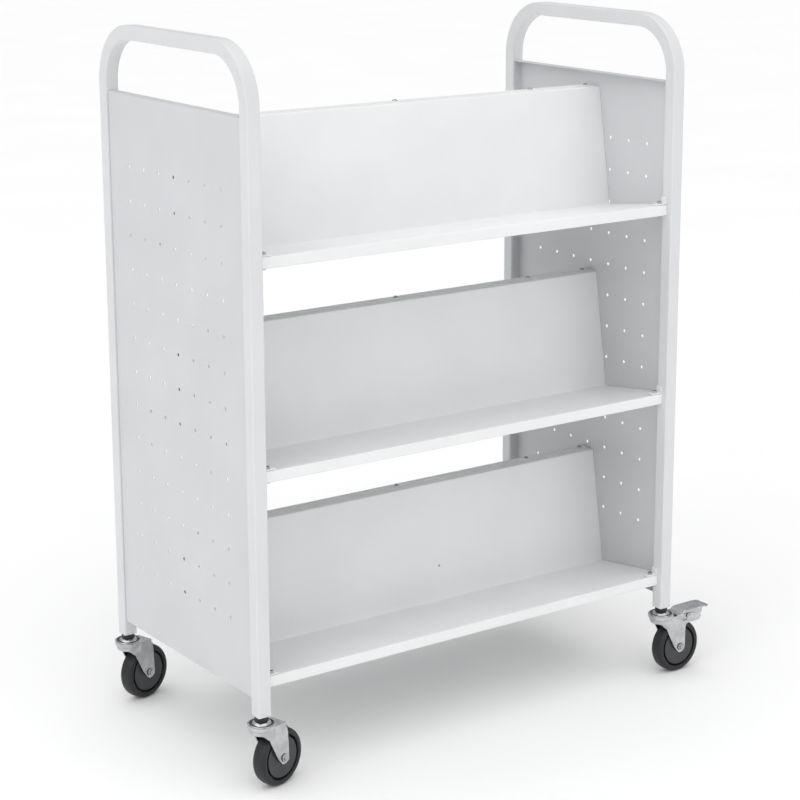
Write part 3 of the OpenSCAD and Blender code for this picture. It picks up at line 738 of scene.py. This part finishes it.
# the collar is near-black: painted shade of the gap between cap and leg
collar = with_finish(hex_prism(COLLAR_FLATS, 10, 0.8), 1)
collar.transform(Matrix.Translation((0, 0, PLATE_HIGH + 11.3)))
piece("caster_stem_bolts", copies(join(stem, collar), stem_places), "root", [bolt_zinc, painted_shade_black],
    ["caster_stems"])


# ---- finishes of the nodes that keep their shape ----

def finish_node(name, material):
    mesh = NODES[name].data
    mesh.materials.clear()
    mesh.materials.append(material)


for side in SIDES:
    finish_node(side + "_end_frame", frame_coat)
    finish_node(side + "_shelf_cleats", shelf_coat)
    finish_node(side + "_ridge_clips", panel_coat)
for name in ("cleat_nuts", "ridge_nuts", "king_nuts"):
    finish_node(name, bolt_zinc)
finish_node("leg_inserts", insert_nylon)
for corner in CORNERS:
    finish_node(corner + "_balls", ball_steel)
    finish_node(corner + "_sleeve", ball_steel)


# ---- floor, light and camera ----

def area_light(name, place, target, size, power):
    light = bpy.data.lights.new(name, "AREA")
    light.shape = "RECTANGLE"
    light.size, light.size_y = size
    light.energy = power
    lamp = bpy.data.objects.new(name, light)
    bpy.context.scene.collection.objects.link(lamp)
    lamp.location = place
    lamp.rotation_euler = (Vector(target) - Vector(place)).to_track_quat("-Z", "Y").to_euler()


floor_paint, floor_tree, floor_shader, floor_coords = start("matt_studio_floor", {"Roughness": 0.9})
floor_cloud = add(floor_tree, "ShaderNodeTexNoise", {"Scale": per_metre(600), "Detail": 2.0},
    {"Vector": floor_coords})
tones(floor_tree, floor_shader, floor_cloud.outputs["Fac"], "#fbfbfb", "#fdfdfd")
floor_bm = bmesh.new()
bmesh.ops.create_grid(floor_bm, x_segments=1, y_segments=1, size=60)
floor_mesh = bpy.data.meshes.new("studio_floor")
floor_bm.to_mesh(floor_mesh)
floor_bm.free()
floor_mesh.materials.append(floor_paint)
studio_floor = bpy.data.objects.new("studio_floor", floor_mesh)
bpy.context.scene.collection.objects.link(studio_floor)

# an even pale sky, greyer towards the horizon, so that the plated metal has something to mirror
world = bpy.data.worlds.new("studio")
bpy.context.scene.world = world
world.use_nodes = True
sky = world.node_tree
sky_coords = add(sky, "ShaderNodeTexCoord", {})
sky_parts = add(sky, "ShaderNodeSeparateXYZ", {}, {"Vector": sky_coords.outputs["Generated"]})
sky_ramp = add(sky, "ShaderNodeValToRGB", {}, {"Fac": sky_parts.outputs["Z"]})
for stop, place, colour in zip(sky_ramp.color_ramp.elements, (0.02, 0.5), ("#b4b6b8", "#fbfbfc")):
    stop.position = place
    stop.color = linear(colour)
sky.links.new(sky_ramp.outputs["Color"], sky.nodes["Background"].inputs["Color"])
sky.nodes["Background"].inputs["Strength"].default_value = 0.66

overhead = bpy.data.lights.new("overhead_glow", "SUN")
overhead.energy = 1.4
overhead.angle = math.radians(100)
overhead_lamp = bpy.data.objects.new("overhead_glow", overhead)
bpy.context.scene.collection.objects.link(overhead_lamp)
overhead_lamp.rotation_euler = (math.radians(12), math.radians(-14), 0)
area_light("left_softbox", (-3.6, -1.2, 2.2), (0, 0, 0.7), (2.2, 2.2), 16)
area_light("front_softbox", (0.8, -4.2, 1.9), (0, 0, 0.6), (2.6, 2.0), 15)

# a long lens at the height of a standing eye, left of the front of the cart
camera_data = bpy.data.cameras.new("camera")
camera_data.sensor_width = 36
camera_data.lens = 96.6
camera_data.shift_x = -0.063
camera_data.shift_y = -0.06
camera_data.clip_end = 200
camera = bpy.data.objects.new("camera", camera_data)
bpy.context.scene.collection.objects.link(camera)
camera.location = (-2.1796, -3.14, 1.5792)
camera.rotation_euler = (Matrix.Rotation(math.radians(-36.199), 4, "Z")
    @ Matrix.Rotation(math.radians(90 - 13.584), 4, "X")
    @ Matrix.Rotation(math.radians(0.122), 4, "Z")).to_euler()
bpy.context.scene.camera = camera
bpy.context.scene.view_settings.view_transform = "Standard"
